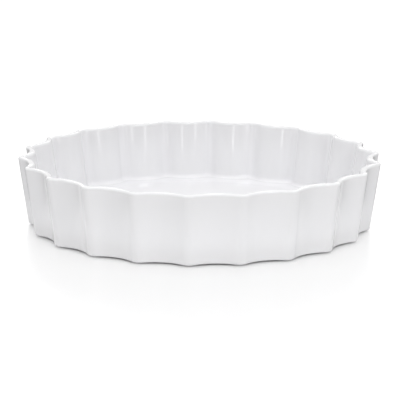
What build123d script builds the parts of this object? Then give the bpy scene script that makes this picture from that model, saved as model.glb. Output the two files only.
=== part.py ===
from build123d import *
from math import cos, pi, radians, sin
import os

os.makedirs("parts", exist_ok=True)

# The glazed dish in millimetres, measured to the ridges between its scallops
rim_radius = 140.3
base_radius = 132.8
dish_height = 54.0

# Scallops round the wall: how many, how round the ridges between them are, and how far,
# in degrees, the wall turns from the tip of a ridge to the side of a scallop
scallop_count = 22
rim_ridge_round = 5.5
base_ridge_round = 7.5
ridge_turn = 36.5

# Wall and floor, and the creases that the ridges leave on the inside
rim_wall = 5.3
base_wall = 6.4
floor = 6.0
rim_crease_round = 7.0
base_crease_round = 6.5
crease_turn = 40.0

# Roundings of the rim, of the corner where the wall meets the floor, and of the bottom edge,
# each with the number of flat steps that it is made in
rim_round = 1.8
rim_steps = 2
floor_round = 4.0
floor_steps = 2
bottom_round = 1.8
bottom_steps = 2

# Foot ring under the floor, left bare of glaze, the only face that touches the table
foot_height = 1.0
foot_width = 5.0
foot_inset = 6.0
foot_draft = 20.0

# How far a cutting shape runs past what it cuts
overrun = 2.0

half_pitch = pi / scallop_count
floor_level = foot_height + floor
halfway = (floor_level + dish_height) / 2


def at_level(base_value, rim_value, level):
    """Value at one height of a wall that runs straight from the table to the rim."""
    return base_value + (rim_value - base_value) * level / dish_height


def scallop_span(ridge_centre, turn):
    """Distance from a ridge's centre to a scallop's, by the triangle that they make with the axis."""
    return ridge_centre * sin(half_pitch) / sin(turn - half_pitch)


def valley_radius(ridge_centre, ridge_round, turn):
    """Distance from the dish's axis to the middle of a scallop."""
    span = scallop_span(ridge_centre, turn)
    return span * sin(turn) / sin(half_pitch) - (span - ridge_round)


def fluted_face(level, ridge_centre, ridge_round, turn):
    """Flat face at one height whose edge is ridges and scallops, arcs that run smoothly together."""
    valley = valley_radius(ridge_centre, ridge_round, turn)
    side = Vector(ridge_centre + ridge_round * cos(turn), ridge_round * sin(turn), level)
    other_side = Vector(side.X, -side.Y, level)
    tip = Vector(ridge_centre + ridge_round, 0, level)
    middle = Vector(valley, 0, level).rotate(Axis.Z, 180 / scallop_count)
    next_side = other_side.rotate(Axis.Z, 360 / scallop_count)
    ridge = ThreePointArc(other_side, tip, side)
    scallop = ThreePointArc(side, middle, next_side)
    turns = [Rotation(0, 0, number * 360 / scallop_count) for number in range(scallop_count)]
    return make_face([turned * arc for turned in turns for arc in (ridge, scallop)])


def outer_ridge(level):
    """Centre distance and radius of a ridge's rounding on the outside of the wall."""
    ridge_round = at_level(base_ridge_round, rim_ridge_round, level)
    return at_level(base_radius, rim_radius, level) - ridge_round, ridge_round


def outer_face(level, inset):
    """Section of the outside, drawn in by an inset."""
    ridge_centre, ridge_round = outer_ridge(level)
    return fluted_face(level, ridge_centre, ridge_round - inset, radians(ridge_turn))


def inner_face(level, inset):
    """Section of the hollow, one wall inside the scallops, drawn in by an inset."""
    wall = at_level(base_wall, rim_wall, level)
    crease_round = at_level(base_crease_round, rim_crease_round, level)
    turn = radians(crease_turn)
    valley = valley_radius(*outer_ridge(level), radians(ridge_turn)) - wall
    per_centre = valley_radius(1, 0, turn)
    crease_centre = (valley - crease_round) / per_centre
    return fluted_face(level, crease_centre, crease_round - inset, turn)


def lower_round(level, radius, steps):
    """Height and inset of each section round a lower edge, from its flat face up to the wall."""
    angles = [radians(90 * step / steps) for step in range(steps + 1)]
    return [(level + radius * (1 - cos(angle)), radius * (1 - sin(angle))) for angle in angles]


def upper_round(level, radius, steps):
    """Height and inset of each section round an upper edge, from the wall to its flat face."""
    return [(2 * level - height, inset) for height, inset in reversed(lower_round(level, radius, steps))]


def make_dish_body():
    """Fluted wall and floor in one shell, rounded at the rim, at the floor and underneath."""
    rim = upper_round(dish_height, rim_round, rim_steps)
    outside = lower_round(foot_height, bottom_round, bottom_steps) + [(halfway, 0)] + rim
    solid = loft([outer_face(level, inset) for level, inset in outside], ruled=True)
    inside = lower_round(floor_level, floor_round, floor_steps) + [(halfway, 0)]
    inside += [(level, -inset) for level, inset in rim]
    sections = [inner_face(level, inset) for level, inset in inside]
    above_rim = Pos(0, 0, overrun) * sections[-1]
    return solid - loft(sections + [above_rim], ruled=True)


def make_foot_ring():
    """Plain ring that carries the dish, a little narrower where it stands than where it joins."""
    outer_radius = valley_radius(*outer_ridge(0), radians(ridge_turn)) - foot_inset
    section = Circle(outer_radius) - Circle(outer_radius - foot_width)
    return extrude(Plane.XY.offset(foot_height) * section, -foot_height, taper=foot_draft)


dish_body = make_dish_body()
foot_ring = make_foot_ring()

export_step(dish_body, "parts/dish_body.step")
export_step(foot_ring, "parts/foot_ring.step")

overall = dish_body.bounding_box()
print(f"Overall {overall.size.X:.1f} by {overall.size.Y:.1f} by {overall.max.Z:.1f} mm")
print(f"Porcelain volume {(dish_body.volume + foot_ring.volume) / 1000:.1f} cubic centimetres")
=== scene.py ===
import math

import bpy
import numpy as np
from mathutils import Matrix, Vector


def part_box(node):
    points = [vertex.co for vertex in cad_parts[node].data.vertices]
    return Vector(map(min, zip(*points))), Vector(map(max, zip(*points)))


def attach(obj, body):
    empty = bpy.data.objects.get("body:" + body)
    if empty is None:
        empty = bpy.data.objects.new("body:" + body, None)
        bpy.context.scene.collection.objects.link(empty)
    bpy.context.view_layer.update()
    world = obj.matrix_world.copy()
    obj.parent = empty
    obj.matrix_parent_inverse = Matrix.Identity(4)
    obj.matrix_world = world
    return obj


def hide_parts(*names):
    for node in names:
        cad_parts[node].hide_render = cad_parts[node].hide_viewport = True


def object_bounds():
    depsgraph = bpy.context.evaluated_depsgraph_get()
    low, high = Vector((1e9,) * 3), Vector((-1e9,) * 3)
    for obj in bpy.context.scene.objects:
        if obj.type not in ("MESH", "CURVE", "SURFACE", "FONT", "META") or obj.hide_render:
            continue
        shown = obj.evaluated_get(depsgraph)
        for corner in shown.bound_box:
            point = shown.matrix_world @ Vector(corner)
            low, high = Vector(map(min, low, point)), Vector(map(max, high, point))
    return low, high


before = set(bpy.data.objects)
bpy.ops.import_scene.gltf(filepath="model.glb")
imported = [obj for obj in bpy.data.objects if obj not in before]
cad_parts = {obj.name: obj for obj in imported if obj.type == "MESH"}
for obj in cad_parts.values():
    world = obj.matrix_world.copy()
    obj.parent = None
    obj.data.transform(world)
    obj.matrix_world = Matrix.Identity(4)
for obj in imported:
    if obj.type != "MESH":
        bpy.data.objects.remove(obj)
cad_low, cad_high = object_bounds()


# The dish body: one moulded shell of porcelain, scalloped wall and flat floor, glazed
# inside and out. The glaze runs thin over the ridges and the rim, and gathers in the
# creases and in the corner at the floor. Its colour also carries painted shade: darker
# at the foot of the outer wall, and darker towards the rim inside and out.

MM = 0.001

dish_height = cad_high.z
rim_radius = 140.3 * MM
base_radius = 132.8 * MM
scallops = 22
half_pitch = math.pi / scallops

rim_ridge_round = 5.5 * MM
base_ridge_round = 7.5 * MM
ridge_turn = math.radians(36.5)
rim_crease_round = 7.0 * MM
base_crease_round = 6.5 * MM
crease_turn = math.radians(40.0)

rim_wall = 5.3 * MM
base_wall = 6.4 * MM
floor_thickness = 6.0 * MM
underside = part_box("dish_body")[0].z
inner_floor = underside + floor_thickness

# Roundings of the rim, of the corner at the floor and of the bottom edge. The rim's is a
# little taller than wide and crowned in its middle, and the floor climbs before its corner.
rim_round = 1.8 * MM
rim_drop = 2.0 * MM
rim_crown = 0.12 * MM
corner_round = 3.0 * MM
floor_climb = 0.8 * MM
climb_start = 0.89
bottom_round = 1.4 * MM

# Points round a ridge and a scallop, rings over each stretch of the section, and, as shares
# of the way out, the rings of a flat face and the width in which its scallops die away
ridge_points = 8
scallop_points = 24
wall_rings = 14
rim_rings = 11
corner_rings = 10
bottom_rings = 7
face_shares = np.concatenate([np.linspace(0, 0.84, 8), np.linspace(0.88, 0.995, 12)])
melt_width = 0.1


def ramp(value, start, end):
    """Share of the way that a value has gone from start to end, held within 0 and 1."""
    return np.clip((value - start) / (end - start), 0, 1)


def at_level(base_value, rim_value, level):
    """Value at each height on a straight line from the table to the rim."""
    return base_value + (rim_value - base_value) * level / dish_height


def outline(ridge_centre, ridge_round, turn):
    """Points round the dish, a row for each section, as complex numbers x + iy.

    A ridge is the circle ridge_centre + ridge_round * e^(i angle), for angles within the turn.
    A scallop is the circle that touches two ridges' circles: its centre lies half a pitch
    away, at ridge_centre * sin(turn) / sin(turn - half pitch) from the axis, and its
    radius is what is left of the two centres' distance. One pitch is then turned round.
    """
    ridge_centre, ridge_round = ridge_centre[:, None], ridge_round[:, None]
    span = ridge_centre * math.sin(half_pitch) / math.sin(turn - half_pitch)
    centre = ridge_centre * math.sin(turn) / math.sin(turn - half_pitch)
    along_ridge = np.linspace(-1, 1, ridge_points, endpoint=False)
    along_scallop = np.linspace(0, 1, scallop_points, endpoint=False)
    ridge = ridge_centre + ridge_round * np.exp(1j * turn * along_ridge)
    sweep = math.pi + turn + 2 * (half_pitch - turn) * along_scallop
    scallop = centre * np.exp(1j * half_pitch) + (span - ridge_round) * np.exp(1j * sweep)
    pitch = np.concatenate([ridge, scallop], axis=1)
    turns = np.exp(2j * half_pitch * np.arange(scallops))
    return (turns[None, :, None] * pitch[:, None, :]).reshape(len(pitch), -1)


def outer_ridge(level):
    """Centre distance and radius of a ridge's rounding on the outside, at each height."""
    ridge_round = at_level(base_ridge_round, rim_ridge_round, level)
    return at_level(base_radius, rim_radius, level) - ridge_round, ridge_round


def outer_outline(level, inset):
    """Outline of the outside at each height, drawn in evenly by an inset."""
    ridge_centre, ridge_round = outer_ridge(level)
    return outline(ridge_centre, ridge_round - inset, ridge_turn)


def valley_share(turn):
    """Distance of a scallop's middle from the axis, as a share of the ridges' centre distance.

    It is (sin(turn) - sin(half pitch)) / sin(turn - half pitch), with ridges of no radius.
    """
    return (math.sin(turn) - math.sin(half_pitch)) / math.sin(turn - half_pitch)


def inner_outline(level, inset):
    """Outline of the hollow at each height, drawn in evenly by an inset.

    With ridges of a radius, a scallop's middle lies at centre distance * valley share +
    radius. The creases' circles are set so that this is one wall less than on the outside.
    """
    ridge_centre, ridge_round = outer_ridge(level)
    wall = at_level(base_wall, rim_wall, level)
    valley = ridge_centre * valley_share(ridge_turn) + ridge_round - wall
    crease_round = at_level(base_crease_round, rim_crease_round, level)
    crease_centre = (valley - crease_round) / valley_share(crease_turn)
    return outline(crease_centre, crease_round - inset, crease_turn)


def quarter(radius, steps):
    """Rise and inset along a quarter circle, from its flat end to its upright end."""
    angle = np.linspace(0, math.pi / 2, steps)
    return radius * (1 - np.cos(angle)), radius * (1 - np.sin(angle))


def flat_face(edge):
    """Rings over a flat face, from its middle out to its edge, without the edge itself.

    A ring is share * (1 - melt) * edge + share * melt * circle: the circle has the edge's mean
    radius and evenly spaced points, and melt goes from 0 at the edge to 1 a melt width
    further in, so the scallops die away into circles.
    """
    share = face_shares[:, None]
    melt = ramp(1 - share, 0, melt_width)
    around = (np.arange(edge.size) - ridge_points / 2) / edge.size
    circle = np.abs(edge).mean() * np.exp(2j * math.pi * around)
    return share * ((1 - melt) * edge + melt * circle)


def dish_surface():
    """Rings of points over the whole dish, from the middle of its underside to that of its floor.

    The rings follow the dish's section: out under the floor, round the bottom edge, up the
    wall, over the rim, down the inside, round the corner and over the floor. The floor climbs
    to its corner by climb^2 * (3 - 2 climb), for a climb from 0 at climb_start to 1.
    """
    bottom_rise, bottom_inset = quarter(bottom_round, bottom_rings)
    rim_rise, rim_inset = quarter(rim_round, rim_rings)
    corner_rise, corner_inset = quarter(corner_round, corner_rings)
    bottom = underside + bottom_rise
    rim = dish_height - rim_crown - rim_rise * (rim_drop / rim_round)
    corner = inner_floor + floor_climb + corner_rise

    outer_wall = np.linspace(bottom[-1], rim[-1], wall_rings)[1:-1]
    outer_levels = np.concatenate([bottom, outer_wall, rim[::-1]])
    outer_insets = np.concatenate([bottom_inset, 0 * outer_wall, rim_inset[::-1]])
    outside = outer_outline(outer_levels, outer_insets)

    inner_wall = np.linspace(rim[-1], corner[-1], wall_rings)[1:-1]
    inner_levels = np.concatenate([rim, inner_wall, corner[::-1]])
    inner_insets = np.concatenate([-rim_inset, 0 * inner_wall, corner_inset[::-1]])
    inside = inner_outline(inner_levels, inner_insets)

    climb = ramp(face_shares[::-1], climb_start, 1)
    floor_levels = inner_floor + floor_climb * climb**2 * (3 - 2 * climb)
    under_levels = np.full(len(face_shares), underside)
    levels = np.concatenate([under_levels, outer_levels, [dish_height], inner_levels, floor_levels])

    crest = (outside[-1:] + inside[:1]) / 2
    plan = np.concatenate([flat_face(outside[0]), outside, crest, inside, flat_face(inside[-1])[::-1]])
    return np.stack([plan.real, plan.imag, np.broadcast_to(levels[:, None], plan.shape)], axis=-1)


# How deep the glaze lies, from 0 to 1, on the outer wall, on the floor and up the inner wall,
# what it loses or gains at each feature, and how far each feature reaches. The loss at the
# outer wall's foot is painted shade, and the losses under the rim are thinner glaze and
# painted shade together, darker towards the rim.
outer_depth = 0.65
outer_ridge_loss = 0.15
# Painted shade: darker at the outer wall's foot, next to the table
painted_foot_shade = 0.45
# Thinner glaze and painted shade: the outer wall darker towards the rim
outer_rim_thinning_and_shade = 0.45
floor_depth = 0.86
inner_wall_loss = 0.3
crease_gain = 0.25
corner_gain = 0.2
# Thinner glaze and painted shade: the inner wall darker towards the rim
inner_rim_thinning_and_shade = 0.5

ridge_reach = 0.2 * half_pitch
# How far the painted shade at the outer wall's foot reaches
foot_shade_reach = 7 * MM
corner_reach = 2.5 * MM
rim_reach = 17 * MM
inner_wall_reach = 8 * MM

# Radii over which ridges, creases, the corner and the foot's painted shade come into the depth
ridge_start, ridge_full = 0.85 * base_radius, 0.95 * base_radius
low_start, low_full = 0.7 * base_radius, 0.9 * base_radius


def bell(distance, reach):
    """e^-(distance / reach)^2: 1 at no distance, and next to nothing at twice the reach."""
    return np.exp(-((distance / reach) ** 2))


def glaze_depth_and_shade(rings):
    """How deep the glaze lies at each point, from 0 where it runs thin to 1 where it gathers;
    painted shade is laid in as thinner glaze.

    Outside it is outer_depth, less a bell on each ridge, a bell of painted shade at the wall's
    foot, and one of thinner glaze and painted shade under the rim. Inside it is floor_depth,
    less a ramp up the wall, plus a bell in each crease and one in the corner, less one of
    thinner glaze and painted shade under the rim. The bells of the ridges and creases, and
    of the foot and the corner, come in with ramps of the radius.
    """
    radius = np.hypot(rings[..., 0], rings[..., 1])
    height = rings[..., 2]
    angle = np.arctan2(rings[..., 1], rings[..., 0])
    from_ridge = angle - 2 * half_pitch * np.round(angle / (2 * half_pitch))
    inside = np.arange(len(rings))[:, None] > np.argmax(height[:, 0])
    ridge = bell(from_ridge, ridge_reach) * ramp(radius, ridge_start, ridge_full)
    low = bell(height - inner_floor, np.where(inside, corner_reach, foot_shade_reach))
    low *= ramp(radius, low_start, low_full)
    rim = bell(dish_height - height, rim_reach)
    up_wall = ramp(height - inner_floor, 0, inner_wall_reach)
    outer = outer_depth - outer_ridge_loss * ridge - painted_foot_shade * low - outer_rim_thinning_and_shade * rim
    inner = floor_depth - inner_wall_loss * up_wall + crease_gain * ridge + corner_gain * low
    return np.clip(np.where(inside, inner - inner_rim_thinning_and_shade * rim, outer), 0, 1)


def closed_shell(name, rings, depths_and_shade):
    """Mesh of closed rings of points, whose first and last ring are each a single point."""
    count, around = rings.shape[:2]
    points = np.concatenate([rings[0, :1], rings[1:-1].reshape(-1, 3), rings[-1, :1]])
    depths_and_shade = np.concatenate([depths_and_shade[0, :1], depths_and_shade[1:-1].ravel(), depths_and_shade[-1, :1]])
    index = np.arange((count - 2) * around).reshape(count - 2, around) + 1
    following = np.roll(index, -1, axis=1)
    quads = np.stack([index[:-1], index[1:], following[1:], following[:-1]], axis=-1).reshape(-1, 4)
    first = np.stack([np.zeros(around, int), index[0], following[0]], axis=-1)
    last = np.stack([np.full(around, len(points) - 1), following[-1], index[-1]], axis=-1)
    mesh = bpy.data.meshes.new(name)
    mesh.from_pydata(points, [], [*first.tolist(), *quads.tolist(), *last.tolist()])
    mesh.polygons.foreach_set("use_smooth", np.ones(len(mesh.polygons), bool))
    mesh.attributes.new("glaze_depth_and_shade", "FLOAT", "POINT").data.foreach_set("value", depths_and_shade)
    piece = bpy.data.objects.new(name, mesh)
    bpy.context.scene.collection.objects.link(piece)
    return piece


surface = dish_surface()
dish = closed_shell("glazed_dish", surface, glaze_depth_and_shade(surface))

# The glaze's colour and roughness where it is thin and where it is deep, its own thick and
# thin clouds, and the waves and ripples that they leave in its surface; scales are per metre.
# The thin colour is also that of the painted shade at the wall's foot and towards the rim.
# Thin glaze, and the greyer colour of the painted shade
thin_glaze_and_shade = (0.80, 0.797, 0.806, 1)
deep_glaze = (0.885, 0.884, 0.902, 1)
thin_roughness = 0.06
deep_roughness = 0.015
glaze_ior = 1.5
cloud_scale = 22.0
cloud_share = 0.3
ripple_scale = 120.0
glaze_detail = 2.0
wave_height = 0.06 * MM
ripple_height = 0.004 * MM


class Socket:
    """An output socket of a shader node; arithmetic on it adds Math nodes."""

    def __init__(self, nodes, output):
        self.nodes = nodes
        self.output = output

    def math(self, operation, first, second):
        values = {"Value": first, "Value_001": second}
        return self.nodes.add("ShaderNodeMath", {"operation": operation}, values)["Value"]

    def __add__(self, other):
        return self.math("ADD", self, other)

    def __sub__(self, other):
        return self.math("SUBTRACT", self, other)

    def __rsub__(self, other):
        return self.math("SUBTRACT", other, self)

    def __mul__(self, other):
        return self.math("MULTIPLY", self, other)

    __radd__ = __add__
    __rmul__ = __mul__


class Nodes:
    """The shader nodes of one material, or of the world."""

    def __init__(self, owner):
        owner.use_nodes = True
        self.tree = owner.node_tree
        self.tree.nodes.clear()

    def add(self, kind, settings=None, values=None):
        """Adds a node with its settings, then the value or link of each socket, by identifier.

        Returns the node's outputs, by identifier too.
        """
        node = self.tree.nodes.new(kind)
        for name, setting in (settings or {}).items():
            setattr(node, name, setting)
        inputs = {socket.identifier: socket for socket in node.inputs}
        for name, value in (values or {}).items():
            if isinstance(value, Socket):
                self.tree.links.new(value.output, inputs[name])
            else:
                inputs[name].default_value = value
        return {output.identifier: Socket(self, output) for output in node.outputs}


def noise(nodes, scale, detail):
    """Noise over the piece's own coordinates, from 0 to 1 and mostly near a half."""
    place = nodes.add("ShaderNodeTexCoord")["Object"]
    values = {"Vector": place, "Scale": scale, "Detail": detail}
    return nodes.add("ShaderNodeTexNoise", {}, values)["Fac"]


def blend(nodes, share, first, second):
    """Colour that goes from the first to the second with a share."""
    values = {"Factor_Float": share, "A_Color": first, "B_Color": second}
    return nodes.add("ShaderNodeMix", {"data_type": "RGBA"}, values)["Result_Color"]


def bump(nodes, strength, distance, height):
    """Normal of a surface that rises by the distance, in metres, where the height is 1."""
    values = {"Strength": strength, "Distance": distance, "Height": height}
    return nodes.add("ShaderNodeBump", {}, values)["Normal"]


def glaze_material():
    """White glaze over porcelain: hard and glossy, cooler and smoother where it is laid deep,
    and greyer where painted shade lies, at the wall's foot and towards the rim.

    How deep it is laid is the surface's glaze depth and painted shade + cloud_share * (clouds - 0.5).
    """
    material = bpy.data.materials.new("white_glaze")
    nodes = Nodes(material)
    depth_and_shade = nodes.add("ShaderNodeAttribute", {"attribute_name": "glaze_depth_and_shade"})["Fac"]
    clouds = noise(nodes, cloud_scale, glaze_detail)
    ripple = noise(nodes, ripple_scale, glaze_detail)
    # Glaze depth with painted shade at the wall's foot and towards the rim, plus clouds
    laid_and_shade = depth_and_shade + (clouds - 0.5) * cloud_share
    uneven = clouds * wave_height + ripple * ripple_height
    finish = {
        "Base Color": blend(nodes, laid_and_shade, thin_glaze_and_shade, deep_glaze),
        "Roughness": thin_roughness - laid_and_shade * (thin_roughness - deep_roughness),
        "IOR": glaze_ior,
        "Normal": bump(nodes, 1.0, 1.0, uneven),
    }
    shader = nodes.add("ShaderNodeBsdfPrincipled", {}, finish)["BSDF"]
    nodes.add("ShaderNodeOutputMaterial", {}, {"Surface": shader})
    return material


dish.data.materials.append(glaze_material())
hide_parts("dish_body")
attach(dish, "root")


# The foot ring: the part of the same porcelain that stands on the table, wiped clean of
# glaze before firing, so it is matt and faintly grainy.

bare_dark = (0.66, 0.63, 0.58, 1)
bare_light = (0.74, 0.72, 0.67, 1)
bare_roughness = 0.75
grain_scale = 1500.0
grain_detail = 3.0
grain_strength = 0.3
grain_height = 0.2 * MM


def bare_material():
    """Unglazed porcelain: matt, warm white, with a fine grain."""
    material = bpy.data.materials.new("bare_porcelain")
    nodes = Nodes(material)
    grain = noise(nodes, grain_scale, grain_detail)
    finish = {
        "Base Color": blend(nodes, grain, bare_dark, bare_light),
        "Roughness": bare_roughness,
        "Normal": bump(nodes, grain_strength, grain_height, grain),
    }
    shader = nodes.add("ShaderNodeBsdfPrincipled", {}, finish)["BSDF"]
    nodes.add("ShaderNodeOutputMaterial", {}, {"Surface": shader})
    return material


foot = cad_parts["foot_ring"]
foot.data.materials.clear()
foot.data.materials.append(bare_material())


# The table: a board of glossy white acrylic under the dish. Its white runs into the white
# background, and it holds the dish's shadow and a soft mirror image of its wall.

table_reach = 3.0
table_white = (0.88, 0.88, 0.88, 1)
plain_white = (1, 1, 1, 1)
room_black = (0.02, 0.02, 0.02, 1)
polish_roughness = 0.30
polish_ior = 1.7

# Distances from the dish's axis between which the white comes in, a last share of it
# further out, and between which the board ends for what gloss on the dish sees
lift_start = 0.1242
lift_end = 0.1375
late_share = 0.28
late_start = 0.134
late_end = 0.170
dark_start = 0.15
dark_end = 0.20


def smooth_step(nodes, value, start, end):
    """Smooth step of a value, from 0 at start to 1 at end."""
    settings = {"interpolation_type": "SMOOTHSTEP"}
    values = {"Value": value, "From Min": start, "From Max": end}
    return nodes.add("ShaderNodeMapRange", settings, values)["Result"]


def mix_shaders(nodes, share, first, second):
    """The first shader, with a share of the second in its place."""
    values = {"Fac": share, "Shader": first, "Shader_001": second}
    return nodes.add("ShaderNodeMixShader", {}, values)["Shader"]


def table_material():
    """Matt white board under a polish, both as the camera and the dish's gloss see them.

    The camera sees the board lifted to plain white by smooth steps of the distance from the
    dish's axis, so only the shadow at the foot keeps its depth. Gloss on the dish sees the
    board run out into a dark room. The polish, a share of gloss by Fresnel, shows to the
    camera alone, so it throws no extra light on the dish.
    """
    material = bpy.data.materials.new("white_table")
    nodes = Nodes(material)
    rays = nodes.add("ShaderNodeLightPath")
    camera_ray, glossy_ray = rays["Is Camera Ray"], rays["Is Glossy Ray"]
    place = nodes.add("ShaderNodeTexCoord")["Object"]
    reach = nodes.add("ShaderNodeVectorMath", {"operation": "LENGTH"}, {"Vector": place})["Value"]
    lift = smooth_step(nodes, reach, lift_start, lift_end) * (1 - late_share)
    lift = lift + smooth_step(nodes, reach, late_start, late_end) * late_share
    dark = smooth_step(nodes, reach, dark_start, dark_end)
    matt = nodes.add("ShaderNodeBsdfDiffuse", {}, {"Color": table_white})["BSDF"]
    black = nodes.add("ShaderNodeBsdfDiffuse", {}, {"Color": room_black})["BSDF"]
    white = nodes.add("ShaderNodeEmission", {}, {"Color": plain_white, "Strength": 1.0})["Emission"]
    gloss = {"Color": plain_white, "Roughness": polish_roughness}
    polish = nodes.add("ShaderNodeBsdfGlossy", {"distribution": "MULTI_GGX"}, gloss)["BSDF"]
    fresnel = nodes.add("ShaderNodeFresnel", {}, {"IOR": polish_ior})["Fac"]
    board = mix_shaders(nodes, glossy_ray * dark, matt, black)
    board = mix_shaders(nodes, camera_ray * lift, board, white)
    board = mix_shaders(nodes, fresnel * camera_ray, board, polish)
    nodes.add("ShaderNodeOutputMaterial", {}, {"Surface": board})
    return material


def flat_square(name, reach):
    """Square in the table's plane, reaching the same distance each way from the dish."""
    mesh = bpy.data.meshes.new(name)
    corners = [(-reach, -reach, 0), (reach, -reach, 0), (reach, reach, 0), (-reach, reach, 0)]
    mesh.from_pydata(corners, [], [(0, 1, 2, 3)])
    piece = bpy.data.objects.new(name, mesh)
    bpy.context.scene.collection.objects.link(piece)
    return piece


table = flat_square("white_table", table_reach)
table.data.materials.append(table_material())


# The light: a white sky, brightest overhead and brighter from the left, with softboxes
# round the dish. Two narrow windows in front of it draw thin upright highlights inside the
# far wall, and a broad, faint panel behind each softens them.

sky_overhead = 1.33
sky_left = 0.93
sky_right = 0.33

# What gloss sees: white behind the dish, a dark room on the camera's side, and how much
# brighter the ceiling is
white_edge = 1.15
white_turn = 1.4
gloss_overhead = 1.5


def sky_strength(sky):
    """Brightness of the studio in each direction, as each kind of ray sees it.

    The camera sees plain white. What lights the dish is overhead * z^2 + left * (the part of x
    towards the left)^2 + right * (the part towards the right)^2. Gloss sees edge + turn * y + z,
    held within 0 and 1, times 1 + gloss_overhead * z^2.
    """
    rays = sky.add("ShaderNodeLightPath")
    glossy_ray = rays["Is Glossy Ray"]
    seen = rays["Is Camera Ray"] + rays["Is Transmission Ray"]
    direction = sky.add("ShaderNodeTexCoord")["Generated"]
    x, y, z = sky.add("ShaderNodeSeparateXYZ", {}, {"Vector": direction}).values()
    left, right, backdrop = (
        sky.add("ShaderNodeClamp", {}, {"Value": part})["Result"]
        for part in (0 - x, x, y * white_turn + z + white_edge)
    )
    soft = z * z * sky_overhead + left * left * sky_left + right * right * sky_right
    ceiling = z * z * gloss_overhead + 1
    return seen + glossy_ray * backdrop * ceiling + (1 - seen - glossy_ray) * soft


world = bpy.data.worlds.new("studio")
bpy.context.scene.world = world
sky = Nodes(world)
glow = {"Color": plain_white, "Strength": sky_strength(sky)}
background = sky.add("ShaderNodeBackground", {}, glow)["Background"]
sky.add("ShaderNodeOutputWorld", {}, {"Surface": background})


def from_dish(azimuth, elevation, distance):
    """Point at a distance from the dish, its azimuth counted in degrees from -Y towards +X."""
    azimuth, elevation = math.radians(azimuth), math.radians(elevation)
    level_part = math.cos(elevation)
    return distance * Vector(
        (math.sin(azimuth) * level_part, -math.cos(azimuth) * level_part, math.sin(elevation))
    )


def facing(place, target):
    """Turn of a lamp or camera that looks from its place at a target."""
    return (target - place).to_track_quat("-Z", "Y").to_euler()


lamp_aim = Vector((0, 0, 0.02))

# Each lamp's azimuth and elevation in degrees, its distance, width and height in metres,
# and its level
lamps = {
    "back_window": (180, 25, 1.7, 1.2, 0.15, 3.6),
    "high_right": (25, 38, 1.7, 1.2, 0.25, 6.3),
    "high_left": (-45, 28, 1.7, 0.6, 0.6, 0.6),
    "back_right": (135, 30, 1.7, 0.8, 0.7, 0.85),
    "right_window": (35, 15.5, 1.8, 0.3, 0.75, 2.2),
    "right_panel": (35, 15.5, 1.82, 1.2, 0.75, 0.36),
    "left_window": (-16, 12.2, 1.8, 0.2, 0.84, 3.0),
    "left_panel": (-16, 12.2, 1.82, 1.2, 0.84, 0.34),
}


def softbox(name, place, width, height, level):
    """Flat panel lamp that faces the dish, as bright as level times plain white."""
    light = bpy.data.lights.new(name, "AREA")
    light.shape = "RECTANGLE"
    light.size, light.size_y = width, height
    light.energy = math.pi * width * height * level
    lamp = bpy.data.objects.new(name, light)
    lamp.location = place
    lamp.rotation_euler = facing(place, lamp_aim)
    bpy.context.scene.collection.objects.link(lamp)


for name, (azimuth, elevation, distance, width, height, level) in lamps.items():
    softbox(name, from_dish(azimuth, elevation, distance), width, height, level)


# The camera: a long lens a little above the rim and a little to the left of the dish, with
# a slight roll. Its place is counted in degrees and metres from a point on the dish's axis.

camera_azimuth = -4.77
camera_elevation = 13.25
camera_distance = 1.3485
camera_centre = Vector((0, 0, 0.025))
camera_aim = Vector((0.0002, 0, 0.01729))
camera_roll = 0.0049
camera_lens = 155.8
camera_sensor = 36.0

camera = bpy.data.objects.new("camera", bpy.data.cameras.new("camera"))
camera.data.sensor_width = camera_sensor
camera.data.lens = camera_lens
camera.location = camera_centre + from_dish(camera_azimuth, camera_elevation, camera_distance)
camera.rotation_euler = facing(camera.location, camera_aim)
camera.rotation_euler.rotate_axis("Z", camera_roll)
bpy.context.scene.collection.objects.link(camera)
bpy.context.scene.camera = camera
bpy.context.scene.view_settings.view_transform = "Standard"
